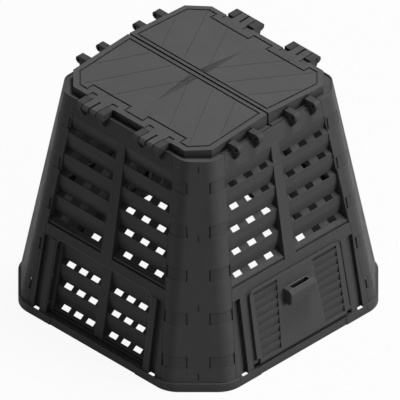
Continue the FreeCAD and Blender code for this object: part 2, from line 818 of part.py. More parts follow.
def ear(u):
    """One hinge ear: a block on the wall's rim with a horn braced down its face."""
    x_low, x_high = u - EAR_THICK / 2, u + EAR_THICK / 2
    y, z = -LID_AXIS_OUT, LID_AXIS_HEIGHT
    root = LEDGE_TOP - 1
    face = wall_y(root, SKIN / 2)
    rim = face + SKIN / 2
    eye = eye_corners(y, z, LID_EYE)
    path = [(rim, root), (rim, WALL_TOP), (-EAR_INNER, WALL_TOP), (-EAR_INNER, z + LID_EYE)]
    path += eye + [(face, z - LID_EYE), (face, root)]
    block = side_prism(path, x_low, x_high)
    tip_y = wall_y(EAR_HORN_TIP, SKIN / 2)
    low_y, low_z = eye[-1]
    knee = ((low_y + tip_y) / 2 - LID_EYE / 2, (low_z + EAR_HORN_TIP) / 2)
    path = [eye[-2], knee, (tip_y, EAR_HORN_TIP), (face, root), (y, z)]
    horn = side_prism(path, u - EAR_HORN_THICK / 2, u + EAR_HORN_THICK / 2)
    across = 2 * (LID_PIN_RADIUS + LID_PIN_SEAT_CLEARANCE)
    return block.fuse(horn), eight_sided(across, x_low - 1, x_high + 1, y, z)


def door_boss():
    """Boss beside the opening that carries the door's stub pin, and its bore."""
    low, high = recess_half(DOOR_AXIS_HEIGHT) - DOOR_BOSS_LONG, recess_half(DOOR_AXIS_HEIGHT) + 1
    y, z, r = wall_y(DOOR_AXIS_HEIGHT, DOOR_AXIS_DEEP), DOOR_AXIS_HEIGHT, DOOR_BOSS_RADIUS
    floor = wall_y(DOOR_AXIS_HEIGHT, RECESS_DEEP + SKIN / 2)
    path = [(floor, z + r)] + eye_corners(y, z, r) + [(floor, z - r)]
    bore_end = low - DOOR_SIDE_GAP + DOOR_PIN_LONG + FIT
    across = 2 * (DOOR_PIN_RADIUS + DOOR_PIN_CLEARANCE)
    return side_prism(path, low, high), eight_sided(across, low - 1, bore_end, y, z)


def wall():
    masses = [wall_foot(), rim_share()]
    voids = []
    for mass, cuts in (upper_field(), groove()):
        masses += [mass, mirrored(mass)]
        voids += cuts + [mirrored(cut) for cut in cuts]
    for lip in (wall_lip(), strip()):
        masses += [lip, mirrored(lip)]
    frame, spaces = recess()
    masses.append(frame)
    voids += spaces
    for u in EAR_AT:
        plate, hole = ear(u)
        masses += [plate, mirrored(plate)]
        voids += [hole, mirrored(hole)]
    under_ledge = box(
        SKIRT_SEAM - SEAM_GAP, SEAM_FOOT + 1, -SKIRT_HALF - 1, -MOUTH_HALF, -1, SKIRT_HEIGHT
    )
    voids += [under_ledge, mirrored(under_ledge), wing_room(), mirrored(wing_room())]
    return remove(join(wall_skin(), *masses), voids)


def with_bosses(panel):
    """The same wall with the pin bosses of a door."""
    boss, bore = door_boss()
    return remove(join(panel, boss, mirrored(boss)), [bore, mirrored(bore)])


def rim_share():
    reach = SEAM_TOP - SEAM_GAP
    return rim_ledge().common(box(-reach, reach, -FACE_HALF_TOP, 0, 0, WALL_TOP))


# Doors and vent panels, made on the front wall and turned to their own


def door_outline():
    """Front outline of the door's raised front: wings above, narrower at the hinge."""
    barrel = DOOR_BARREL_HALF
    half_wing = recess_half(DOOR_WING_FOOT) - DOOR_SET_IN
    half_top = recess_half(DOOR_TOP) - DOOR_SET_IN
    right = [
        (barrel, DOOR_AXIS_HEIGHT, 0),
        (barrel, DOOR_WING_FOOT, 0),
        (half_wing, DOOR_WING_FOOT, 0),
        (half_top, DOOR_TOP, DOOR_ROUND),
    ]
    left = [(-x, z, radius) for x, z, radius in reversed(right)]
    return rounded(left + right)


def plug_outline(inset):
    half, top = DOOR_PLUG_HALF - inset, RECESS_TOP - OPENING_TOP_STEP - DOOR_PLUG_GAP / 2 - inset
    low = DOOR_AXIS_HEIGHT - inset
    return [(-half, low), (half, low), (half, top), (-half, top)]


def rib_field():
    """Mass and void of the door's right field of closed louvres."""
    low, high = RIB_FIRST, DOOR_TOP - RIB_TOP_FROM_TOP
    outer = opening_half(DOOR_TOP) - RIB_SET_IN
    path = [(wall_y(high, -DOOR_PROUD), high)]
    for foot in reversed(evenly(RIB_FIRST, DOOR_TOP - RIB_LAST_FROM_TOP, RIB_COUNT)):
        path.append((wall_y(foot + RIB_NOTCH, RIB_DEEP - DOOR_PROUD), foot + RIB_NOTCH))
        path.append((wall_y(foot, RIB_DEEP - DOOR_PROUD), foot))
        path.append((wall_y(foot, -DOOR_PROUD), foot))
    outside = -SKIRT_HALF - BEYOND
    void = side_prism([(outside, low), (outside, high)] + path, 0, outer + 1)
    sizes = (RIB_INNER_TOP, RIB_INNER_FOOT, outer, outer)
    outline = field_outline(*sizes, high, low)
    grown = field_outline(*sizes, high, low, SKIN)
    depth = RIB_DEEP + SKIN - DOOR_PROUD
    back = leaning_slab(grown, -DOOR_PROUD, depth, low - SKIN, high + SKIN, outer + SKIN)
    return back, void.common(front_prism(outline, outside, -MOUTH_HALF))


def handle():
    """Mass and pocket of the cup handle: rounded block, open at its top."""
    top = DOOR_TOP - HANDLE_FROM_TOP
    foot = top - HANDLE_TALL
    root = SKIN / 2 - DOOR_PROUD
    y_front = wall_y((foot + top) / 2, -DOOR_PROUD - HANDLE_PROUD)
    block = [
        (wall_y(foot, root), foot, 0),
        (wall_y(top, root), top, 0),
        (y_front, top, HANDLE_PROUD / 2),
        (y_front, foot, HANDLE_PROUD / 2),
    ]
    mass = side_prism(rounded(block), -HANDLE_HALF, HANDLE_HALF)
    y_near = wall_y(top, -DOOR_PROUD - POCKET_NEAR)
    y_far = wall_y(top, -DOOR_PROUD - POCKET_FAR)
    return mass, box(-POCKET_HALF, POCKET_HALF, y_far, y_near, top - POCKET_DEEP, top + 1)


def door_foot():
    """Foot of the door, its front rounded about the hinge's axis so that it can swing."""
    lean = math.atan(FACE_LEAN)
    radius = (DOOR_AXIS_DEEP + DOOR_PROUD) * math.cos(lean)
    y, z = wall_y(DOOR_AXIS_HEIGHT, DOOR_AXIS_DEEP), DOOR_AXIS_HEIGHT
    start = (y - radius * math.cos(lean), z + radius * math.sin(lean))
    turn = (lean - math.pi / 2) / 2
    middle = (y - radius * math.cos(turn), z + radius * math.sin(turn))
    path = [(y, z + radius), start, (middle, (y, z - radius)), (y + radius, z)]
    return side_prism(path, -DOOR_BARREL_HALF, DOOR_BARREL_HALF)


def door():
    low, high = DOOR_AXIS_HEIGHT, DOOR_TOP
    reach = recess_half(0)
    front = leaning_slab(door_outline(), -DOOR_PROUD, SKIN, low, high, reach)
    edge = recess_outline(DOOR_SIDE_FIT, DOOR_WING_FOOT, DOOR_TOP, RECESS_ROUND)
    flange = leaning_slab(edge, 0, SKIN, DOOR_WING_FOOT, DOOR_TOP, reach)
    plug = leaning_slab(plug_outline(0), 0, DOOR_PLUG_DEEP, low, high, reach)
    hollow_low = low - SKIN
    hollow = leaning_slab(
        plug_outline(SKIN), SKIN - DOOR_PROUD, DOOR_PLUG_DEEP + 1, hollow_low, high, reach
    )
    pin_end = DOOR_BARREL_HALF + DOOR_PIN_LONG
    pins = rod(DOOR_PIN_RADIUS, -pin_end, pin_end, wall_y(low, DOOR_AXIS_DEEP), low)
    ribs, rib_cut = rib_field()
    grip, pocket = handle()
    shell = join(front, flange, plug).cut(hollow)
    whole = join(shell, door_foot(), pins, ribs, mirrored(ribs), grip)
    return remove(whole, [rib_cut, mirrored(rib_cut), pocket])


def vent_slot_places(z):
    """Middles of the slots in a row, the same in every row."""
    inner = VENT_MULLION_HALF
    outer = opening_half(VENT_FIELD_TOP) - FIT - SKIN
    return [inner + (outer - inner) * share for share in VENT_SLOT_SHARES]


def vent_panel():
    front = RECESS_DEEP - FIT - SKIN
    top = RECESS_TOP - DOOR_TOP_FIT
    edge = recess_outline(VENT_SIDE_FIT, VENT_FOOT, top, RECESS_ROUND)
    plate = leaning_slab(edge, front, front + SKIN, VENT_FOOT, top, recess_half(0))
    field_top, field_foot = VENT_FIELD_TOP, VENT_FIELD_FOOT
    outer_top = opening_half(field_top) - FIT - SKIN
    outer_foot = opening_half(field_foot) - FIT - SKIN
    sizes = (VENT_MULLION_HALF, VENT_MULLION_HALF, outer_top, outer_foot)
    outline = field_outline(*sizes, field_top, field_foot)
    grown = field_outline(*sizes, field_top, field_foot, SKIN)
    rows = evenly(VENT_FIRST_ROW, field_top - VENT_TOP_ROOM, VENT_ROWS)
    mass, cuts = louvred_field(
        outline, grown, rows[::-1], vent_slot_half, field_top, field_foot, vent_slot_places, front
    )
    return remove(join(plate, mass, mirrored(mass)), cuts + [mirrored(cut) for cut in cuts])


# Lid flaps and their pins


def lid_top(y):
    return LID_RIDGE - LID_SLOPE * abs(y)


def flap_plan(inset, seam_inset):
    """Plan of the front flap: half of an octagon, up to the seam."""
    half = LID_HALF - inset
    leg = LID_LEG - inset * (2 - math.sqrt(2))
    near = -LID_GAP / 2 - seam_inset
    right = [(half - leg, -half), (half, leg - half), (half, near)]
    left = [(-x, y) for x, y in reversed(right)]
    return left + right


def gable_slab(drop_low, drop_high, reach):
    """Sloping slab between two depths under the lid's top, over the front half."""
    far = -LID_HALF - BEYOND
    profile = [
        (far, lid_top(far) - drop_low),
        (0, lid_top(0) - drop_low),
        (0, lid_top(0) - drop_high),
        (far, lid_top(far) - drop_high),
    ]
    return side_prism(profile, -reach, reach)


def rim_groove():
    """Groove round the flap's panel, jogging round the hinge pads."""
    high = LID_RIDGE + 1
    low = WALL_TOP
    outer = plan_prism(flap_plan(LID_RIM, LID_SEAM_RIM), low, high)
    inner = plan_prism(flap_plan(LID_RIM + LID_GROOVE, LID_SEAM_RIM + LID_GROOVE), low, high)
    edge = LID_RIM - LID_HALF
    wide = LID_GROOVE
    near, far = EAR_AT[0] - LID_PAD_INNER, EAR_AT[1] + LID_PAD_OUTER
    pads, moats = [], []
    for x_low, x_high in ((near, far), (-far, -near)):
        pads.append(box(x_low, x_high, edge - 1, edge + LID_PAD_REACH, low, high))
        moats.append(
            box(x_low - wide, x_high + wide, edge - 1, edge + LID_PAD_REACH + wide, low, high)
        )
    ring = remove(outer, pads).cut(remove(inner, moats))
    return ring.common(gable_slab(LID_GROOVE_DEEP, -1, LID_HALF))


def scores():
    """Shallow chevron lines, mirrored about the middle of the lid."""
    inset = LID_GROOVE * 2
    far = LID_HALF - LID_RIM - inset
    run = (far - SCORE_CROSS) / math.sin(math.radians(SCORE_LEAN))
    first = LID_HALF - SCORE_FIRST_SET_IN
    keep = plan_prism(flap_plan(LID_RIM + inset, LID_SEAM_RIM + inset), WALL_TOP, LID_RIDGE + 1)
    keep = keep.common(gable_slab(SCORE_DEEP, -1, LID_HALF))
    lines = []
    for index in range(SCORE_LINES):
        line = box(0, run, -SCORE_WIDE / 2, SCORE_WIDE / 2, WALL_TOP, LID_RIDGE + 1)
        line.rotate(Vector(0, 0, 0), Vector(0, 0, 1), -SCORE_LEAN)
        line.translate(Vector(first - index * SCORE_PITCH, -SCORE_CROSS, 0))
        lines.append(line.common(keep))
    return lines


def spine():
    """Low tapered rib along the flap's middle, widest at the seam."""
    near, far = -SPINE_NEAR, SPINE_SET_IN - LID_HALF
    base, top = lid_top(near) - 1, lid_top(near) + SPINE_TALL
    corners = [Vector(-SPINE_HALF, near, base), Vector(SPINE_HALF, near, base), Vector(0, near, top)]
    tip = Vector(0, far, lid_top(far) - SPINE_TIP_SUNK)
    faces = [corners] + [[corners[index - 1], corners[index], tip] for index in range(3)]
    sides = [Part.Face(Part.makePolygon(face + [face[0]])) for face in faces]
    return Part.makeSolid(Part.makeShell(sides))


def knuckle(x_low, x_high):
    """Arm from the lid's edge over the wall's rim to an eye round the pin."""
    y, z = -LID_AXIS_OUT, LID_AXIS_HEIGHT
    under = WALL_TOP + LID_CLEARANCE + 1
    root = 2 * LID_SKIN - LID_HALF
    path = [(root, under), (root, lid_top(-root)), (-LID_HALF, lid_top(LID_HALF))]
    path += eye_corners(y, z, LID_EYE)
    path.append((y + LID_EYE - 1, under))
    return side_prism(path, x_low, x_high)


def lid_flap():
    low = LEDGE_TOP + LID_CLEARANCE
    high = LID_RIDGE + 1
    body = plan_prism(flap_plan(0, 0), low, high).cut(gable_slab(0, -BEYOND, LID_HALF + 1))
    under = gable_slab(BEYOND * 2, LID_SKIN, LID_HALF)
    hollow = plan_prism(flap_plan(SKIN, SKIN), low - 1, high).common(under)
    inside, lip_foot = LID_HALF - SKIN, LID_RIDGE - LID_SEAM_LIP
    seam_open = box(-inside, inside, -LID_GAP / 2 - SKIN - 1, 0, low - 1, lip_foot)
    body = remove(body, [hollow, seam_open])
    grip_end = LID_HALF + LID_GRIP_REACH
    grip = box(inside, grip_end, -LID_GRIP_TO, -LID_GRIP_FROM, low, low + SKIN)
    masses = [spine(), grip, mirrored(grip)]
    voids = [rim_groove()]
    for score in scores():
        voids += [score, mirrored(score)]
    inner = EAR_AT[0] + EAR_THICK / 2 + KNUCKLE_GAP
    outer = EAR_AT[1] - EAR_THICK / 2 - KNUCKLE_GAP
    for x_low in (inner, outer - KNUCKLE_WIDE):
        arm = knuckle(x_low, x_low + KNUCKLE_WIDE)
        masses += [arm, mirrored(arm)]
    half = LID_PAD_POCKET / 2
    at = LID_PAD_POCKET_SET_IN - LID_HALF
    for x in EAR_AT:
        pocket = box(x - half, x + half, at - half, at + half, WALL_TOP, LID_RIDGE)
        pocket = pocket.common(gable_slab(LID_GROOVE_DEEP, -1, LID_HALF + 4))
        voids += [pocket, mirrored(pocket)]
    reach = EAR_AT[1] + EAR_THICK
    across = 2 * (LID_PIN_RADIUS + LID_PIN_CLEARANCE)
    voids.append(eight_sided(across, -reach, reach, -LID_AXIS_OUT, LID_AXIS_HEIGHT))
    return remove(join(body, *masses), voids)


def lid_pin():
    """Pin of the right hinge, its head against the outer ear."""
    x_low = EAR_AT[0] - EAR_THICK / 2
    x_high = EAR_AT[1] + EAR_THICK / 2
    y, z = -LID_AXIS_OUT, LID_AXIS_HEIGHT
    shank = rod(LID_PIN_RADIUS, x_low, x_high, y, z)
    turns = [2 * math.pi * index / LID_PIN_HEAD_SIDES for index in range(LID_PIN_HEAD_SIDES)]
    radius = LID_PIN_HEAD_RADIUS
    corners = [(y + radius * math.cos(turn), z + radius * math.sin(turn)) for turn in turns]
    return shank.fuse(side_prism(corners, x_high, x_high + LID_PIN_HEAD_THICK))


def main():
    os.makedirs("parts", exist_ok=True)
    vent_wall = tidy(wall())
    door_wall = with_bosses(vent_wall)
    for side, degrees in SIDE_TURN.items():
        panel = door_wall if side in DOOR_SIDES else vent_wall
        save(turned(panel, degrees), "wall_" + side)
    post = tidy(corner_post())
    corners = ("front_right", "back_right", "back_left", "front_left")
    for index, corner in enumerate(corners):
        save(turned(post, 90 * index), "corner_post_" + corner)
    panel = tidy(door())
    vent = tidy(vent_panel())
    flap = tidy(lid_flap())
    for side in DOOR_SIDES:
        save(turned(panel, SIDE_TURN[side]), "door_" + side)
    pin = lid_pin()
    for side in ("front", "back"):
        save(turned(vent, SIDE_TURN[side]), "vent_panel_" + side)
        save(turned(flap, SIDE_TURN[side]), "lid_flap_" + side)
        save(turned(pin, SIDE_TURN[side]), "lid_pin_" + side + "_right")
        save(turned(mirrored(pin), SIDE_TURN[side]), "lid_pin_" + side + "_left")


main()
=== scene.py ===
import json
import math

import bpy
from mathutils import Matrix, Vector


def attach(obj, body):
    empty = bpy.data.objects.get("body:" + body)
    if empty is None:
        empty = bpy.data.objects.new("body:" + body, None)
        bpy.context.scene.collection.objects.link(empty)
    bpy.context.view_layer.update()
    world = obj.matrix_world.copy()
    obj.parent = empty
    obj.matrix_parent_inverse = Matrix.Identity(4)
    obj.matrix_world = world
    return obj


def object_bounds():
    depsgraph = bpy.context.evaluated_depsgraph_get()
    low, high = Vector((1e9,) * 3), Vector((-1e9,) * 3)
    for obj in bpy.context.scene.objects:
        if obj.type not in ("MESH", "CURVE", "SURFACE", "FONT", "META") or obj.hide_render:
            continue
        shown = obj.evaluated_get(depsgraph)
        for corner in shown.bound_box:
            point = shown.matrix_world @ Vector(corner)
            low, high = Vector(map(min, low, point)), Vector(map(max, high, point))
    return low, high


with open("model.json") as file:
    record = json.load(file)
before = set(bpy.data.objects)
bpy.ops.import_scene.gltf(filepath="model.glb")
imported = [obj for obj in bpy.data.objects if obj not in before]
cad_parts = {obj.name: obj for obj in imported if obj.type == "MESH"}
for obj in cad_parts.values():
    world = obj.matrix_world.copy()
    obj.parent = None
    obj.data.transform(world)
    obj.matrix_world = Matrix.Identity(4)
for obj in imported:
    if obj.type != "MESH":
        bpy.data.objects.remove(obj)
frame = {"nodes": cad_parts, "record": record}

# %% [markdown]
# # A slotted compost bin in charcoal plastic
# The solids come from the CAD model and stay as they are: four walls, four corner posts,
# two vent panels, two doors, two lid flaps and their pins. This lesson gives them the
# finish of moulded recycled plastic, adds the soft lips, beads and rims that a mould
# leaves on its edges, and lights the bin the way a catalogue photograph does.

CAD_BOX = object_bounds()
NODES = frame["nodes"]
SUBPARTS = frame["record"]["subparts"]
MM = 0.001
print("nodes", len(NODES), "box", [[round(v, 3) for v in corner] for corner in CAD_BOX])

# %% [markdown]
# ## Building a material from nodes
# Every finish here is a Principled shader fed by noise patterns. It could be clicked
# together in the node editor, but a recipe in code can be read, copied and tuned. The
# first small helper below adds a node, sets its values and links its inputs in one call.
# The others are the few nodes that every recipe needs again and again: a sum, a map from
# one range to another, the parts of a vector, a mix of two colours and a noise.
# All patterns read Object coordinates, which are metres on this object, so a grain of
# one millimetre stays one millimetre on every piece.

# %% Adding a node
def add(tree, kind, values=None, links=None):
    """Adds a node; values go to inputs by name or number, links join other outputs."""
    node = tree.nodes.new(kind)
    for key, value in (values or {}).items():
        node.inputs[key].default_value = value
    for key, source in (links or {}).items():
        tree.links.new(source, node.inputs[key])
    return node


# %% Sums and ranges
def maths(tree, kind, first, second=0.0):
    """Math node; each side may be another node's output or a plain number."""
    node = tree.nodes.new("ShaderNodeMath")
    node.operation = kind
    for index, source in enumerate((first, second)):
        if isinstance(source, (int, float)):
            node.inputs[index].default_value = source
        else:
            tree.links.new(source, node.inputs[index])
    return node.outputs[0]


def ramp(tree, source, low, high, start=0.0, end=1.0):
    """Maps low..high to start..end, clamped at both ends."""
    values = {1: low, 2: high, 3: start, 4: end}
    return add(tree, "ShaderNodeMapRange", values, {0: source}).outputs[0]


def axes(tree, vector):
    """The x, y and z of a vector."""
    return add(tree, "ShaderNodeSeparateXYZ", {}, {0: vector}).outputs


# %% Colours and noise
# The inputs and outputs of a Mix node share their names, so they are taken by number.
MIX_COLOURS = (6, 7)
MIX_RESULT = 2


def tint(tree, share, first, second):
    """Mixes two colours; each may be an output or a grey level."""
    node = tree.nodes.new("ShaderNodeMix")
    node.data_type = "RGBA"
    tree.links.new(share, node.inputs[0])
    for index, source in zip(MIX_COLOURS, (first, second)):
        if isinstance(source, (int, float)):
            node.inputs[index].default_value = (source, source, source, 1)
        else:
            tree.links.new(source, node.inputs[index])
    return node.outputs[MIX_RESULT]


def noise(tree, place, scale, detail, roughness=0.5):
    """Noise pattern; scale is how many of its clouds fit on a metre."""
    values = {"Scale": scale, "Detail": detail, "Roughness": roughness}
    return add(tree, "ShaderNodeTexNoise", values, {"Vector": place}).outputs["Fac"]


# %% Materials and objects
def fresh_material(name):
    """Material with an empty tree."""
    material = bpy.data.materials.new(name)
    material.use_nodes = True
    material.node_tree.nodes.clear()
    return material


def show(obj):
    """Puts an object into the scene."""
    bpy.context.scene.collection.objects.link(obj)


print("helpers ready")

# %% [markdown]
# ## Snap bands on the posts
# On the real bin the posts clip round the walls, and each clip shows as a shallow band,
# 38 mm tall, sunk between the slot at the seam and a hook groove near the corner. The
# slots and the grooves are solid geometry. The band between them is only a millimetre or
# two deep, so it is drawn in the material: the distance to the nearest band height and
# the distance from the corner's middle give a mask, and the mask drives a bump and a
# painted shade, a little darker over the band and much darker along its edge.
# Both distances use absolute values, so one mask fits all four posts.

# %% Mask of the snap bands
BAND_FIRST = 0.098
BAND_STEP = 0.1465
BAND_HALF_TALL = 0.019
BAND_FROM_CORNER = 0.0345
BAND_EDGE = 0.6 * MM


def band_mask(tree, place):
    """One inside a band, zero outside, with an edge about a millimetre wide."""
    x, y, z = axes(tree, place)
    out_x = maths(tree, "ABSOLUTE", x)
    out_y = maths(tree, "ABSOLUTE", y)
    across = maths(tree, "MULTIPLY", maths(tree, "SUBTRACT", out_x, out_y), math.sqrt(0.5))
    from_corner = maths(tree, "ABSOLUTE", across)
    lifted = maths(tree, "ADD", z, BAND_STEP / 2 - BAND_FIRST)
    wrapped = maths(tree, "FLOORED_MODULO", lifted, BAND_STEP)
    from_middle = maths(tree, "ABSOLUTE", maths(tree, "SUBTRACT", wrapped, BAND_STEP / 2))
    level = ramp(tree, from_middle, BAND_HALF_TALL + BAND_EDGE, BAND_HALF_TALL - BAND_EDGE)
    beside = ramp(tree, from_corner, BAND_FROM_CORNER - BAND_EDGE, BAND_FROM_CORNER + BAND_EDGE)
    return maths(tree, "MULTIPLY", level, beside)


print("snap bands", 2 * BAND_HALF_TALL, "tall, one every", BAND_STEP)

# %% [markdown]
# ## Painted shade in the valley beside the spine
# Each lid flap is stiffened by a tapered spine that runs from the seam towards the
# hinge. On the real lid the plastic sinks into a shallow valley on both sides of it, and
# the shade in the valley shows as a dark wedge. It is far too shallow for a solid, so the
# shade is painted into the lid's finish through a mask: as wide as the valley at the seam
# and nothing at its tip.

# %% Mask of the painted shade in the valley
VALLEY_START = 0.024
VALLEY_END = 0.215
VALLEY_HALF = 0.0175
VALLEY_EDGE = 0.004
VALLEY_STEP = 1 * MM


def valley_shade_mask(tree, place):
    """One inside the wedge along Y, falling to zero over its soft edge."""
    x, y, _ = axes(tree, place)
    across = maths(tree, "ABSOLUTE", x)
    along = maths(tree, "ABSOLUTE", y)
    half = ramp(tree, along, VALLEY_START, VALLEY_END, VALLEY_HALF, 0.0)
    inside = ramp(tree, maths(tree, "SUBTRACT", half, across), 0.0, VALLEY_EDGE)
    past_seam = ramp(tree, along, VALLEY_START - VALLEY_STEP, VALLEY_START)
    return maths(tree, "MULTIPLY", inside, past_seam)


print("valley", round(VALLEY_END - VALLEY_START, 3), "long,", 2 * VALLEY_HALF, "wide")

# %% [markdown]
# ## Charcoal moulded plastic
# Recycled polypropylene comes out of the mould as an even charcoal with a fine spark
# eroded grain. Up close it isn't one grey: the melt flow leaves faint clouds, rims and
# corners are rubbed paler, soil and painted shade darken the recesses, and dust settles
# on what faces up: pale dust on the lid. On the walls, vents and doors the faces that
# look up, such as the ledges of the louvres, get a painted shade instead.
# The next cells make these one by one, each as a share from zero to one that the finish
# then uses to mix in a paler or a darker grey. First the clouds: a large round noise,
# and a stretched one for the streaks that run with the flow, up the wall.

# %% Cloudy base colour
CLOUD_SCALE = 7.0
STREAK_SCALES = (34.0, 34.0, 5.0)
STREAK_SHARE = 0.4
CLOUD_RANGE = (0.45, 0.95)
CLOUD_TONES = ((0.93, 0.93, 0.935), (1.08, 1.08, 1.075))


def flow_clouds(tree, place, grey):
    """Colour with faint light and dark clouds, and the plain cloud pattern itself."""
    clouds = noise(tree, place, CLOUD_SCALE, detail=4.0, roughness=0.55)
    stretched = add(tree, "ShaderNodeMapping", {"Scale": STREAK_SCALES}, {"Vector": place})
    streaks = noise(tree, stretched.outputs[0], scale=1.0, detail=3.0)
    both = maths(tree, "ADD", clouds, maths(tree, "MULTIPLY", streaks, STREAK_SHARE))
    tones = add(tree, "ShaderNodeValToRGB", {}, {"Fac": both})
    for stop, position, factors in zip(tones.color_ramp.elements, CLOUD_RANGE, CLOUD_TONES):
        stop.position = position
        stop.color = [grey * factor for factor in factors] + [1]
    return tones.outputs[0], clouds


print("clouds about", round(1 / CLOUD_SCALE, 2), "m apart")

# %% [markdown]
# ## Rubbed edges
# Where hands, spades and the next panel rub, charcoal plastic turns paler. The Bevel node
# gives the normal that the surface would have if its edges were rounded. Where that
# differs from the true normal there is an edge, and a noise breaks the wear into patches.
# The same rounded normal also softens how the edge catches the light. On the cup handles
# the rounding has a far larger radius, because the real handle is a soft scoop, while its
# ends in the solid are flat. The handles are found by how far they stand out from the
# leaning wall.

# %% Rubbed edges and soft handles
EDGE_BENT = (0.995, 0.90)
PATCH_SCALE = 55.0
PATCH_RANGE = (0.40, 0.66)
LEAST_WEAR = 0.25
WALL_TOP = 0.775
FACE_FOOT = 0.4634
FACE_TOP = 0.3247
FACE_LEAN = (FACE_FOOT - FACE_TOP) / WALL_TOP
HANDLE_STARTS = 12 * MM
HANDLE_WHOLE = 14 * MM
HANDLE_SOFTNESS = 9 * MM


def rubbed_edges(tree, place, radius, wear):
    """Share of rubbed surface, and the softened normal of the edges."""
    soft = add(tree, "ShaderNodeBevel", {}, {"Radius": radius})
    soft.samples = 6
    geometry = add(tree, "ShaderNodeNewGeometry")
    turn = add(tree, "ShaderNodeVectorMath", {}, {0: soft.outputs[0], 1: geometry.outputs["Normal"]})
    turn.operation = "DOT_PRODUCT"
    bent = ramp(tree, turn.outputs["Value"], *EDGE_BENT)
    patches = noise(tree, place, PATCH_SCALE, detail=5.0, roughness=0.7)
    patch = ramp(tree, patches, *PATCH_RANGE, wear * LEAST_WEAR, wear)
    return maths(tree, "MULTIPLY", bent, patch), soft.outputs[0]


def edge_radius(tree, place, edge):
    """Radius of the rounded copy: the edge's own, and much larger on the handles."""
    x, _, z = axes(tree, place)
    out = maths(tree, "ABSOLUTE", x)
    leaned = maths(tree, "ADD", out, maths(tree, "MULTIPLY", z, FACE_LEAN))
    starts, whole = FACE_FOOT + HANDLE_STARTS, FACE_FOOT + HANDLE_WHOLE
    return ramp(tree, leaned, starts, whole, edge, HANDLE_SOFTNESS)


print("walls lean by", round(math.degrees(math.atan(FACE_LEAN)), 1), "degrees")

# %% [markdown]
# ## Dust, soil and painted shade
# What settles lies on faces that look up, so its share comes from the normal's Z, broken
# into fine specks. The same share, darkened instead of paled, paints shade on the faces
# that look up. Soil collects where rain and brush don't reach, and shade falls there too.
# The Ambient Occlusion node knows how much sky a point can see, and little sky means
# much soil and much painted shade.

# %% Dust, soil and painted shade
SPECK_SCALE = 160.0
SPECK_RANGE = (0.38, 0.72)
FEWEST_SPECKS = 0.2
SOIL_AND_SHADE_REACH = 45 * MM
SOIL_AND_SHADE_SKY = (0.75, 0.15)


def tops_dust_and_shade(tree, place, facing, amount):
    """Share on faces that look up, in fine specks: of dust, and of painted shade on the tops."""
    geometry = add(tree, "ShaderNodeNewGeometry")
    up = axes(tree, geometry.outputs["Normal"])[2]
    facing_up = ramp(tree, up, *facing, 0.0, amount)
    specks = noise(tree, place, SPECK_SCALE, detail=6.0, roughness=0.65)
    fine = ramp(tree, specks, *SPECK_RANGE, FEWEST_SPECKS, 1.0)
    return maths(tree, "MULTIPLY", facing_up, fine)


def soil_and_shade_in_recesses(tree, amount):
    """Share of dark soil with painted shade: where little sky is seen within the reach."""
    sky = add(tree, "ShaderNodeAmbientOcclusion", {"Distance": SOIL_AND_SHADE_REACH})
    sky.samples = 8
    return ramp(tree, sky.outputs["AO"], *SOIL_AND_SHADE_SKY, 0.0, amount)


print("soil reaches", SOIL_AND_SHADE_REACH, "m")

# %% [markdown]
# ## Grain and waves
# Two bumps lie on top of each other. The fine one is the eroded grain of the steel mould,
# pits a millimetre apart. The broad one is the slight waviness of a large flat moulding
# as it cools, seen only where light grazes it. Real displacement would cost millions of
# faces for relief that never changes the outline, so both stay in the bump. The sunk
# bands of the posts are a third bump, with painted shade in the colour over them and a
# darker painted shade line at their edge.

# %% Relief
PIT_SCALE = 900.0
PIT_DEEP = 0.25 * MM
WAVE_SCALE = 12.0
WAVE_DEEP = 1.5 * MM
WAVINESS = 0.3
BAND_DEEP = 2.4 * MM
# Painted shade: the sunk bands darkened a little, their edge much more.
BAND_SHADE_SHARE = 0.25
BAND_EDGE_SHADE_SHARE = 3.6
BAND_SHADE_GREY = 0.6
BAND_EDGE_SHADE_GREY = 0.15


def moulded_relief(tree, place, base, grain):
    """Normal with the grain and the waves on top of the base normal."""
    pits = add(tree, "ShaderNodeTexVoronoi", {"Scale": PIT_SCALE}, {"Vector": place})
    pits.feature = "SMOOTH_F1"
    values = {"Strength": grain, "Distance": PIT_DEEP}
    links = {"Height": pits.outputs["Distance"], "Normal": base}
    fine = add(tree, "ShaderNodeBump", values, links)
    values = {"Strength": WAVINESS, "Distance": WAVE_DEEP}
    waves = noise(tree, place, WAVE_SCALE, detail=2.0)
    links = {"Height": waves, "Normal": fine.outputs[0]}
    return add(tree, "ShaderNodeBump", values, links).outputs[0]


def sink_bands(tree, place, colour, surface, grey):
    """Colour with painted shade on the snap bands, darkest at the edge; normal with the bands sunk.
    """
    mask = band_mask(tree, place)
    values = {"Strength": 1.0, "Distance": BAND_DEEP}
    sunk = add(tree, "ShaderNodeBump", values, {"Height": mask, "Normal": surface})
    sunk.invert = True
    # Painted shade over the band, and a darker painted shade line along its edge.
    line = maths(tree, "MULTIPLY", mask, maths(tree, "SUBTRACT", 1.0, mask))
    share = maths(tree, "MULTIPLY", mask, BAND_SHADE_SHARE)
    colour = tint(tree, share, colour, grey * BAND_SHADE_GREY)
    share = maths(tree, "MULTIPLY", line, BAND_EDGE_SHADE_SHARE)
    colour = tint(tree, share, colour, grey * BAND_EDGE_SHADE_GREY)
    return colour, sunk.outputs[0]


print("pits", round(1000 / PIT_SCALE, 1), "mm apart")

# %% [markdown]
# ## The finish as a whole
# One function puts the layers on top of each other, from the base colour up to what lies
# loose on it. Every grey in it is a multiple of the plastic's own grey, so a darker
# moulding gets darker soil, darker painted shade and darker dust as well. The clouds also
# vary the sheen a little, and dust makes it matt.

# %% Plastic finish
RUBBED_GREY = 1.9
DUST_GREY = 1.8
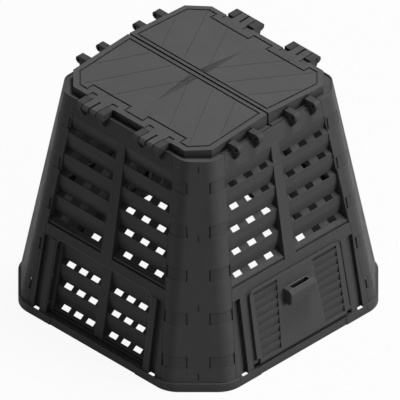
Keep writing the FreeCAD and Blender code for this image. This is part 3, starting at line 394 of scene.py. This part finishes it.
# Painted shade: the greys on faces that look up, in recesses (with soil) and in the valley.
UPWARD_SHADE_GREY = 0.3
SOIL_AND_SHADE_GREY = 0.5
VALLEY_SHADE_GREY = 0.5
VALLEY_SHADE_SHARE = 0.8
DUST_FACING = (0.45, 1.0)
UPWARD_SHADE_FACING = (0.30, 0.65)
CLOUD_MIDDLE = (0.3, 0.7)
SMOOTHER = 0.05
ROUGHER = 0.08
DUST_MATT = 0.5
SHADER_VALUES = {"IOR": 1.49, "Specular IOR Level": 0.3}


def moulded_plastic(
    name, grey, dust=0.16, upward_shade=0.0, wear=0.5, rough=0.5,
    edge=1.2 * MM, grain=0.25, soil_and_shade=0.7, relief=None,
):
    """Material of one moulding.

    dust and wear are shares, and so are the painted shade on faces that look up and the
    soil with painted shade in recesses; rough is the shader's roughness, edge is the
    radius of the rounded edges, grain the strength of the finest bump, and relief may be
    "bands", a bump with painted shade, or "valley", painted shade beside the spine.
    """
    material = fresh_material(name)
    tree = material.node_tree
    place = add(tree, "ShaderNodeTexCoord").outputs["Object"]
    colour, clouds = flow_clouds(tree, place, grey)
    rubbed, normal = rubbed_edges(tree, place, edge_radius(tree, place, edge), wear)
    colour = tint(tree, rubbed, colour, grey * RUBBED_GREY)
    dusty = tops_dust_and_shade(tree, place, DUST_FACING, dust)
    colour = tint(tree, dusty, colour, grey * DUST_GREY)
    # Painted shade: faces that look up darkened, in fine specks.
    shaded_tops = tops_dust_and_shade(tree, place, UPWARD_SHADE_FACING, upward_shade)
    colour = tint(tree, shaded_tops, colour, grey * UPWARD_SHADE_GREY)
    # Soil and painted shade: recesses darker where they see little sky.
    colour = tint(tree, soil_and_shade_in_recesses(tree, soil_and_shade), colour, grey * SOIL_AND_SHADE_GREY)
    surface = moulded_relief(tree, place, normal, grain)
    if relief == "bands":
        colour, surface = sink_bands(tree, place, colour, surface, grey)
    if relief == "valley":
        # Painted shade: the valley beside the spine darkened in the colour.
        share = maths(tree, "MULTIPLY", valley_shade_mask(tree, place), VALLEY_SHADE_SHARE)
        colour = tint(tree, share, colour, grey * VALLEY_SHADE_GREY)
    sheen = ramp(tree, clouds, *CLOUD_MIDDLE, rough - SMOOTHER, rough + ROUGHER)
    matt = maths(tree, "ADD", sheen, maths(tree, "MULTIPLY", dusty, DUST_MATT))
    links = {"Base Color": colour, "Roughness": matt, "Normal": surface}
    shader = add(tree, "ShaderNodeBsdfPrincipled", SHADER_VALUES, links)
    add(tree, "ShaderNodeOutputMaterial", {}, {"Surface": shader.outputs[0]})
    print("finish", name, "grey", grey)
    return material


# %% [markdown]
# ## One finish for each kind of moulding
# The walls, posts, doors and vents come from the same grey pellets, but each mould has
# its own polish: the lid is a shade paler and dustier because it faces the sky, the
# posts are smoother and carry the snap bands, and the hinge pins are turned rod without
# a grain. One more finish serves the small beads that stand proud: hands and the panels
# that are pushed past them have polished them paler, and their much paler grey is also a
# painted highlight of the light that their rounds catch.

# %% The finishes
# Painted shade per finish: on faces that look up and in recesses, most in the lid's grooves.
FINISH = {
    "wall_plastic": moulded_plastic("wall_charcoal", 0.088, dust=0.0, upward_shade=0.75),
    "post_plastic": moulded_plastic("post_charcoal", 0.090, rough=0.44, relief="bands"),
    "vent_plastic": moulded_plastic("vent_charcoal", 0.086, dust=0.0, upward_shade=0.6),
    "door_plastic": moulded_plastic("door_charcoal", 0.092, dust=0.0, upward_shade=0.6, wear=0.6),
    "lid_plastic": moulded_plastic(
        "lid_charcoal", 0.092, dust=0.22, wear=0.6, rough=0.48, soil_and_shade=2.0, relief="valley"
    ),
    "pin_plastic": moulded_plastic(
        "pin_charcoal", 0.055, wear=0.8, rough=0.36, edge=0.5 * MM, grain=0.05
    ),
}
# Paler grey of the proud beads: polish from hands and panels, and a painted highlight.
POLISHED_AND_HIGHLIGHT = moulded_plastic(
    "polished_highlight_charcoal", 0.21, dust=0.0, rough=0.36, edge=0.5 * MM, grain=0.05
)

for part in SUBPARTS:
    for material_slot in NODES[part["node"]].material_slots:
        material_slot.material = FINISH[part["material_slot"]]
print("finishes on", len(SUBPARTS), "pieces")

# %% [markdown]
# ## Where things are on a leaning wall
# Every wall leans inwards, so a place on it is given by its distance from the wall's
# middle, its height and its depth behind the face. These few lines turn that into a
# point, first on the front wall and then on any of the four, by quarter turns.
# The edges of seam and recess lean too, so they are straight lines between a value low
# on the wall and one further up.

# %% Places on the walls
QUARTER = {"front": 0, "right": 1, "back": 2, "left": 3}
SEAM_FOOT = 0.2960
SEAM_TOP = 0.2107
RECESS_HALF_LOW = 0.2135
RECESS_HALF_HIGH = 0.2070
RECESS_LOW = 0.0294
RECESS_HIGH = 0.284


def between(low, high, z, z_low=0.0, z_high=WALL_TOP):
    """Value at a height, on the line from low at z_low to high at z_high."""
    return low + (high - low) * (z - z_low) / (z_high - z_low)


def face_half(z):
    """Distance of a wall's face from the bin's middle."""
    return between(FACE_FOOT, FACE_TOP, z)


def seam(z):
    """Distance from a wall's middle to its seam with the post."""
    return between(SEAM_FOOT, SEAM_TOP, z)


def recess_half(z):
    """Half the width of a wall's recess."""
    return between(RECESS_HALF_LOW, RECESS_HALF_HIGH, z, RECESS_LOW, RECESS_HIGH)


def on_wall(side, x, depth, z):
    """Point on a wall: x from its middle, depth behind its face, z above the ground."""
    y = depth - face_half(z)
    for turn in range(QUARTER[side]):
        x, y = -y, x
    return (x, y, z)


print("face at half height", round(face_half(WALL_TOP / 2), 4))

# %% [markdown]
# ## Beads that follow an edge
# A mould can't make a razor edge: every lip ends in a small round that catches the light.
# The same Geometry Nodes tree makes all of them. It takes a wire of edge lines, sweeps an
# eight sided circle along each, closes the ends and hands back plain faces with their
# finish. Only the lines, the bead's radius and the finish differ from use to use.
# The tree is put together from a few short functions, because the rings further down
# start and end in the same way: with named inputs, a round sweep and the hand-back.

# %% Parts of every tree
def geometry_tree(name, sizes):
    """Empty tree with a named input for each size, and the values of those inputs."""
    tree = bpy.data.node_groups.new(name, "GeometryNodeTree")
    tree.interface.new_socket("Geometry", in_out="INPUT", socket_type="NodeSocketGeometry")
    inputs = {}
    for label, value in sizes.items():
        kind = "NodeSocketInt" if isinstance(value, int) else "NodeSocketFloat"
        socket = tree.interface.new_socket(label, in_out="INPUT", socket_type=kind)
        inputs[socket.identifier] = value
    tree.interface.new_socket("Geometry", in_out="OUTPUT", socket_type="NodeSocketGeometry")
    return tree, inputs


def circle(tree, radius, sides):
    """Circle with as many straight sides as asked for."""
    links = {"Radius": radius, "Resolution": sides}
    return add(tree, "GeometryNodeCurvePrimitiveCircle", {}, links).outputs[0]


def sweep(tree, path, section):
    """Smooth tube along a path, closed at open ends."""
    links = {"Curve": path, "Profile Curve": section}
    tube = add(tree, "GeometryNodeCurveToMesh", {"Fill Caps": True}, links)
    return add(tree, "GeometryNodeSetShadeSmooth", {}, {"Geometry": tube.outputs[0]}).outputs[0]


def hand_back(tree, geometry, material):
    """End of the tree: plain faces with their finish."""
    real = add(tree, "GeometryNodeRealizeInstances", {}, {"Geometry": geometry})
    links = {"Geometry": real.outputs[0]}
    dressed = add(tree, "GeometryNodeSetMaterial", {"Material": material}, links)
    end = tree.nodes.new("NodeGroupOutput")
    tree.links.new(dressed.outputs[0], end.inputs[0])


print("tree parts ready")

# %% [markdown]
# ## From wire to piece
# A tree needs an object to work on: here a mesh of loose edges, or of single points. The
# evaluated object becomes a plain mesh, which is what the bin keeps. It then rides on the
# body that carries it and is told which plastic it is made of.

# %% Wires, pieces and beads
BEAD_SIDES = 8


def wire_object(name, lines):
    """Loose edges through each line's points."""
    points, edges = [], []
    for line in lines:
        first = len(points)
        points += line
        edges += [(first + index, first + index + 1) for index in range(len(line) - 1)]
    mesh = bpy.data.meshes.new(name)
    mesh.from_pydata(points, edges, [])
    obj = bpy.data.objects.new(name, mesh)
    show(obj)
    return obj


def make_piece(name, lines, tree, inputs, body):
    """Runs a tree over lines and keeps the result as a plain piece on a body."""
    wire = wire_object(name + "_wire", lines)
    modifier = wire.modifiers.new("tree", "NODES")
    modifier.node_group = tree
    for identifier, value in inputs.items():
        modifier[identifier] = value
    depsgraph = bpy.context.evaluated_depsgraph_get()
    mesh = bpy.data.meshes.new_from_object(wire.evaluated_get(depsgraph))
    mesh.name = name
    bpy.data.objects.remove(wire)
    piece = bpy.data.objects.new(name, mesh)
    show(piece)
    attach(piece, body)
    print("piece", name, "on", body, "faces", len(mesh.polygons))


def beads(name, lines, radius, material, body):
    """Round beads along lines, as one piece."""
    tree, inputs = geometry_tree(name + "_tree", {"Radius": radius, "Sides": BEAD_SIDES})
    start = tree.nodes.new("NodeGroupInput")
    path = add(tree, "GeometryNodeMeshToCurve", {}, {"Mesh": start.outputs["Geometry"]})
    section = circle(tree, start.outputs["Radius"], start.outputs["Sides"])
    hand_back(tree, sweep(tree, path.outputs[0], section), material)
    make_piece(name, lines, tree, inputs, body)


print("beads have", BEAD_SIDES, "sides")

# %% [markdown]
# ## Rounded lips of the louvres
# Each louvred field is a ladder of sloping boards. Where a board's slotted ledge turns
# down into the next board, the real part has a soft rounded lip, which draws the fine
# light line along every row in the photograph. The lips sit at the rows' own heights,
# which come from the same spacing as the boards. The ledges lie deep in the wall at its
# foot and near its face at its top, because a field stands steeper than the wall leans.

# %% Louvre lips
LIP_RADIUS = 1.5 * MM
LIP_LOWER = 0.2 * MM
LIP_BEHIND_EDGE = 1.1 * MM
LEDGE_REACH = 0.017
LEDGE_DROP = 0.013


def lip(side, z_row, deep, inner, outer):
    """Line along the outer edge of one ledge; it sits a little inside the edge."""
    z = z_row - LEDGE_DROP / 2 - LIP_LOWER
    leaned = face_half(z_row) - face_half(z)
    depth = deep - LEDGE_REACH / 2 - leaned + LIP_BEHIND_EDGE
    return [on_wall(side, inner, depth, z), on_wall(side, outer, depth, z)]


def mirrored_lips(side, z_row, deep, inner, outer):
    """The same lip left and right of the wall's middle."""
    return [lip(side, z_row, deep, sign * inner, sign * outer) for sign in (-1, 1)]


print("lips", 2 * LIP_RADIUS, "m thick")

# %% [markdown]
# ## Rows of boards
# The upper fields are on all four walls, five rows each, on both sides of a mullion that
# is wider at its foot. The vent panels have three rows and sit on two walls only.

# %% Rows of boards
def rows(first, step, count):
    """Heights of the rows of boards, from the lowest up."""
    return [first + step * index for index in range(count)]


# A pair is a value low on the wall and one high on it.
UPPER_ROWS = rows(first=0.349, step=0.0782, count=5)
UPPER_DEEP = (0.0385, 0.0015)
FIELD_HEIGHTS = (0.324, 0.715)
FIELD_INNER = (0.0244, 0.0160)
FIELD_PAST_SEAM = (-0.0033, 0.0017)
VENT_ROWS = rows(first=0.0565, step=0.07675, count=3)
VENT_DEEP = (0.0322, 0.0079)
VENT_INNER = 0.0187
OPENING_STEP = 0.0105
VENT_SKIN = 0.0044


def upper_lips(side, z_row):
    """Two lips of the upper fields: their ends follow the mullion and the seam."""
    z = z_row - LEDGE_DROP / 2
    inner = between(*FIELD_INNER, z, *FIELD_HEIGHTS)
    outer = seam(z) + between(*FIELD_PAST_SEAM, z, *FIELD_HEIGHTS)
    return mirrored_lips(side, z_row, between(*UPPER_DEEP, z_row), inner, outer)


def vent_lips(side, z_row):
    """Two lips of a vent panel, which ends at the opening behind the recess."""
    outer = recess_half(z_row - LEDGE_DROP / 2) - OPENING_STEP - VENT_SKIN
    return mirrored_lips(side, z_row, between(*VENT_DEEP, z_row), VENT_INNER, outer)


lip_lines = []
for side in QUARTER:
    for z_row in UPPER_ROWS:
        lip_lines += upper_lips(side, z_row)

for side in ("front", "back"):
    for z_row in VENT_ROWS:
        lip_lines += vent_lips(side, z_row)

beads("louvre_lips", lip_lines, LIP_RADIUS, FINISH["wall_plastic"], "bin")

# %% [markdown]
# ## Beads round the recesses
# The vent panels lie sunk in a recess. Its edge is rolled over in a thin bead, the pale
# line that frames the panel in the photograph; its paler grey is partly polish and partly
# a painted highlight. The line runs up one leaning side, round two corners and down the
# other.

# %% Recess beads
RECESS_TOP = 0.291
RECESS_ROUND = 0.020
RECESS_FOOT = 0.034
RECESS_BEAD = 1.6 * MM
RECESS_BEAD_OUT = 0.5 * MM
RECESS_BEAD_DEEP = 0.5 * MM
CORNER_STEPS = 6


def recess_line(side, out):
    """Edge of the recess, moved outwards by out: up the left side and down the right."""
    half = recess_half(RECESS_TOP) + out
    top = RECESS_TOP + out
    radius = RECESS_ROUND + out
    rising = [(recess_half(RECESS_FOOT) + out, RECESS_FOOT)]
    for step in range(CORNER_STEPS + 1):
        angle = math.pi / 2 * step / CORNER_STEPS
        x = half - radius + radius * math.cos(angle)
        rising.append((x, top - radius + radius * math.sin(angle)))
    places = [(-x, z) for x, z in rising] + rising[::-1]
    return [on_wall(side, x, RECESS_BEAD_DEEP, z) for x, z in places]


recess_lines = [recess_line(side, RECESS_BEAD_OUT) for side in ("front", "back")]
beads("recess_beads", recess_lines, RECESS_BEAD, POLISHED_AND_HIGHLIGHT, "bin")

# %% [markdown]
# ## Rolled rim of the cup handles
# A door is pulled open by a cup that is open at its top. Its mouth has a rolled rim, so
# that it doesn't cut the fingers, and hands have polished it paler than the door; the
# paler grey is also a painted highlight along the rim. The line of the rim is four
# quarter turns joined by straight runs, and it rides on the door.

# %% Handle rims
RIM_TOP = 0.2437
RIM_HALF = 0.0385
RIM_NEAR = 0.0135
RIM_FAR = 0.0345
RIM_ROUND = 0.005
RIM_BEAD = 1.5 * MM
RIM_STEPS = 4


def rim_line(side):
    """Closed line round the mouth of the cup, seen from above."""
    near, far = RIM_NEAR + RIM_ROUND, RIM_FAR - RIM_ROUND
    middles = ((1, far), (-1, far), (-1, near), (1, near))
    line = []
    for quarter, (sign, out) in enumerate(middles):
        for step in range(RIM_STEPS + 1):
            angle = math.pi / 2 * (quarter + step / RIM_STEPS)
            x = sign * (RIM_HALF - RIM_ROUND) + RIM_ROUND * math.cos(angle)
            line.append(on_wall(side, x, -out - RIM_ROUND * math.sin(angle), RIM_TOP))
    return line + line[:1]


for side in ("right", "left"):
    rim = [rim_line(side)]
    beads("handle_rim_" + side, rim, RIM_BEAD, POLISHED_AND_HIGHLIGHT, "door_" + side)

# %% [markdown]
# ## Sockets in the recess sides
# All four walls come from one mould, so the two with vent panels also have the sockets
# that hold a door on the other two. They show beside the panel as small pale rings, two
# on each side. A ring that is repeated is the classic case for instances: one ring is
# made, points say where it goes, and Realize Instances makes it plain geometry.

# %% Socket rings
SOCKET_RADIUS = 5.2 * MM
SOCKET_BEAD = 1.5 * MM
SOCKET_SIDES = 20
SOCKET_HEIGHTS = (0.064, 0.160)
SOCKET_DEEP = 0.0070
SOCKET_IN = 0.3 * MM
ACROSS_WALL = (0, math.pi / 2, 0)


def socket_rings(name, points, material, body):
    """The same ring on every point, its axis across the wall, as one piece."""
    sizes = {"Radius": SOCKET_RADIUS, "Bead": SOCKET_BEAD, "Steps": SOCKET_SIDES, "Sides": BEAD_SIDES}
    tree, inputs = geometry_tree(name + "_tree", sizes)
    start = tree.nodes.new("NodeGroupInput")
    path = circle(tree, start.outputs["Radius"], start.outputs["Steps"])
    section = circle(tree, start.outputs["Bead"], start.outputs["Sides"])
    links = {"Geometry": sweep(tree, path, section)}
    turned = add(tree, "GeometryNodeTransform", {"Rotation": ACROSS_WALL}, links)
    links = {"Points": start.outputs["Geometry"], "Instance": turned.outputs[0]}
    placed = add(tree, "GeometryNodeInstanceOnPoints", {}, links)
    hand_back(tree, placed.outputs[0], material)
    make_piece(name, [[point] for point in points], tree, inputs, body)


socket_points = []
for side in ("front", "back"):
    for z in SOCKET_HEIGHTS:
        for sign in (-1, 1):
            x = sign * (recess_half(z) + SOCKET_IN)
            socket_points.append(on_wall(side, x, SOCKET_DEEP, z))

# The rings take the paler grey of the beads: polish, and painted highlight.
socket_rings("recess_sockets", socket_points, POLISHED_AND_HIGHLIGHT, "bin")

# %% [markdown]
# ## The floor
# A pale floor that turns white where the camera looks at it keeps the shadow of the bin
# and hides the horizon. Light Path tells the material who is looking: the camera and
# mirror images get a share of plain white on top of the matt floor, while the bin only
# gets the light that the matt floor throws back.

# %% Floor
WHITE = (1, 1, 1, 1)
FLOOR_HALF = 7.0
FLOOR_BELOW = 0.6 * MM
FLOOR_GREY_LIGHT = 0.34
FLOOR_GREY_SEEN = 0.86
WHITE_SEEN = 0.93
WHITE_MIRRORED = 0.35


def mirrored_rays(tree, path):
    """One for rays that left a glossy surface or went through a clear one."""
    glossy, clear = path.outputs["Is Glossy Ray"], path.outputs["Is Transmission Ray"]
    return maths(tree, "MAXIMUM", glossy, clear)


def floor_material():
    """Matt floor, with plain white on top of it for camera and mirror images."""
    material = fresh_material("pale_floor")
    tree = material.node_tree
    path = add(tree, "ShaderNodeLightPath")
    seen = path.outputs["Is Camera Ray"]
    direct = maths(tree, "MULTIPLY", seen, WHITE_SEEN)
    reflected = maths(tree, "MULTIPLY", mirrored_rays(tree, path), WHITE_MIRRORED)
    share = maths(tree, "ADD", direct, reflected)
    tone = tint(tree, seen, FLOOR_GREY_LIGHT, FLOOR_GREY_SEEN)
    matt = add(tree, "ShaderNodeBsdfDiffuse", {}, {"Color": tone})
    white = add(tree, "ShaderNodeEmission", {"Color": WHITE, "Strength": 1.0})
    links = {0: share, 1: matt.outputs[0], 2: white.outputs[0]}
    mix = add(tree, "ShaderNodeMixShader", {}, links)
    add(tree, "ShaderNodeOutputMaterial", {}, {"Surface": mix.outputs[0]})
    return material


def studio_floor():
    """One large square, just below the bin's foot."""
    low = CAD_BOX[0][2] - FLOOR_BELOW
    signs = ((-1, -1), (1, -1), (1, 1), (-1, 1))
    mesh = bpy.data.meshes.new("floor")
    mesh.from_pydata([(x * FLOOR_HALF, y * FLOOR_HALF, low) for x, y in signs], [], [(0, 1, 2, 3)])
    mesh.materials.append(floor_material())
    floor = bpy.data.objects.new("floor", mesh)
    show(floor)
    print("floor at", round(low, 4))


studio_floor()

# %% [markdown]
# ## The world
# The world is white to the camera, dim to the bin and a little brighter in its
# reflections, which gives the plastic its faint sheen without lighting it up.

# %% World
WORLD_LIGHT = 0.10
WORLD_MIRRORED = 0.2


def studio_world():
    """White to the camera, and otherwise as dim as asked for."""
    world = bpy.data.worlds.new("studio")
    world.use_nodes = True
    tree = world.node_tree
    tree.nodes.clear()
    path = add(tree, "ShaderNodeLightPath")
    level = ramp(tree, mirrored_rays(tree, path), 0.0, 1.0, WORLD_LIGHT, WORLD_MIRRORED)
    dim = add(tree, "ShaderNodeBackground", {"Color": WHITE}, {"Strength": level})
    white = add(tree, "ShaderNodeBackground", {"Color": WHITE, "Strength": 1.0})
    links = {0: path.outputs["Is Camera Ray"], 1: dim.outputs[0], 2: white.outputs[0]}
    mix = add(tree, "ShaderNodeMixShader", {}, links)
    add(tree, "ShaderNodeOutputWorld", {}, {"Surface": mix.outputs[0]})
    bpy.context.scene.world = world


studio_world()
print("world light", WORLD_LIGHT)

# %% [markdown]
# ## The lamps
# The catalogue light comes from above and from behind on the right: the lid is the
# brightest part, the right wall is clear grey and the left one almost black. One large
# soft lamp over the bin and one behind it on the right do that. Both stand eight metres
# away, so that the light hardly fades from the rim to the foot. A faint lamp inside
# lifts the hollow of the bin from black to the dark grey that shows through its slots.
# Their strength is given as the light that a surface gets, and worked back to a power:
# a flat lamp's spreads over half a sphere and counts as pi, a point's over a whole one
# and counts as four pi.

# %% Lamps
PAPER_WHITE = math.pi
FLAT_LAMP_SPREAD = math.pi
POINT_LAMP_SPREAD = 4 * math.pi
LAMP_DISTANCE = 8.0
LAMP_AIM = Vector((0, 0, 0.4))
INNER_PLACE = (0, 0, 0.45)
INNER_REACH = 0.35
INNER_RADIUS = 0.12
INNER_LIGHT = 0.08


def soft_lamp(name, direction, light, size):
    """Round lamp in a direction; a light of one makes white paper that faces it white."""
    toward = Vector(direction).normalized()
    data = bpy.data.lights.new(name, "AREA")
    data.shape = "DISK"
    data.size = size
    data.energy = light * PAPER_WHITE * FLAT_LAMP_SPREAD * LAMP_DISTANCE ** 2
    lamp = bpy.data.objects.new(name, data)
    lamp.location = LAMP_AIM + toward * LAMP_DISTANCE
    lamp.rotation_euler = toward.to_track_quat("Z", "Y").to_euler()
    show(lamp)


def inner_lamp():
    """Faint round lamp inside the bin, which the camera doesn't see."""
    data = bpy.data.lights.new("inside", "POINT")
    data.shadow_soft_size = INNER_RADIUS
    data.energy = INNER_LIGHT * PAPER_WHITE * POINT_LAMP_SPREAD * INNER_REACH ** 2
    lamp = bpy.data.objects.new("inside", data)
    lamp.location = INNER_PLACE
    lamp.visible_camera = False
    show(lamp)


soft_lamp("overhead", (0.10, 0.26, 1.0), light=0.66, size=3.0)
soft_lamp("right_side", (0.852, 0.397, 0.342), light=0.315, size=2.6)
inner_lamp()

# %% [markdown]
# ## The camera
# The photograph is a drawing-office view: all edges that are parallel on the bin stay
# parallel in it, and the two lower edges run off at the same slope, so it is an
# orthographic camera that looks along a cube's diagonal. Only its scale and the point
# it aims at are free.

# %% Camera
VIEW_WIDTH = 1.243
AIM_RIGHT = 0.0053
AIM_UP = 0.2741
CAMERA_DISTANCE = 4.0
FARTHEST_SEEN = 30


def isometric_camera():
    """Camera without perspective, along a cube's diagonal."""
    toward = Vector((1, -1, 1)).normalized()
    right = Vector((1, 1, 0)).normalized()
    up = toward.cross(right)
    data = bpy.data.cameras.new("camera")
    data.type = "ORTHO"
    data.ortho_scale = VIEW_WIDTH
    data.clip_end = FARTHEST_SEEN
    camera = bpy.data.objects.new("camera", data)
    turn = Matrix((right, up, toward)).transposed().to_4x4()
    place = right * AIM_RIGHT + up * AIM_UP + toward * CAMERA_DISTANCE
    camera.matrix_world = Matrix.Translation(place) @ turn
    show(camera)
    bpy.context.scene.camera = camera


isometric_camera()
bpy.context.scene.view_settings.view_transform = "Standard"
print("view width", VIEW_WIDTH)
